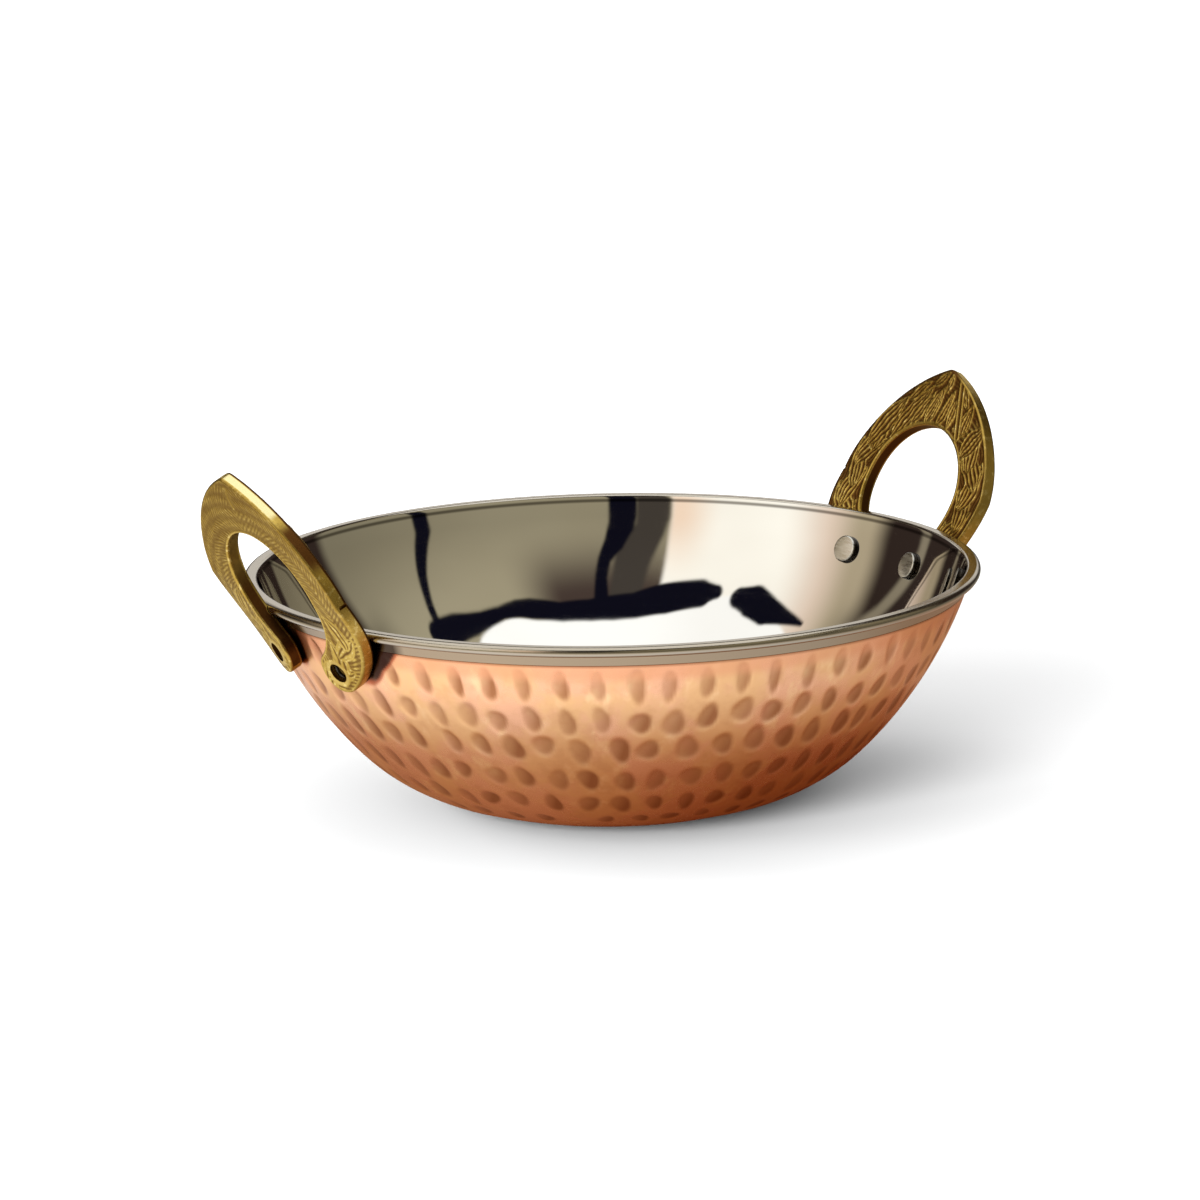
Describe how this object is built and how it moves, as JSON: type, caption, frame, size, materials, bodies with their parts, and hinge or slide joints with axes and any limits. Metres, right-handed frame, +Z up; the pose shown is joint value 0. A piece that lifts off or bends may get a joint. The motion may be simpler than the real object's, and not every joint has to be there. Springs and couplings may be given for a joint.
{
  "type": "kadai",
  "caption": "Small round-bottomed serving kadai: hammered copper skin over a polished steel bowl with a rolled rim, and pointed brass handles riveted to its sides.",
  "frame": {"origin": "centre of the flat base, on the table", "axes": "+Z up along the bowl's axis, +X towards one handle, +Y along the rim between the handles"},
  "size_m": [0.1824, 0.15, 0.0777],
  "materials": {
    "copper": "hammered, lacquered satin copper",
    "steel": "mirror-polished stainless steel",
    "brass": "cast and engraved, antiqued satin",
    "rivet_steel": "plain bright steel"
  },
  "bodies": {
    "root": {"copper_shell": "copper", "steel_liner": "steel", "left_handle": "brass", "right_handle": "brass", "right_front_rivet": "rivet_steel", "right_back_rivet": "rivet_steel", "left_front_rivet": "rivet_steel", "left_back_rivet": "rivet_steel"}
  },
  "joints": []
}
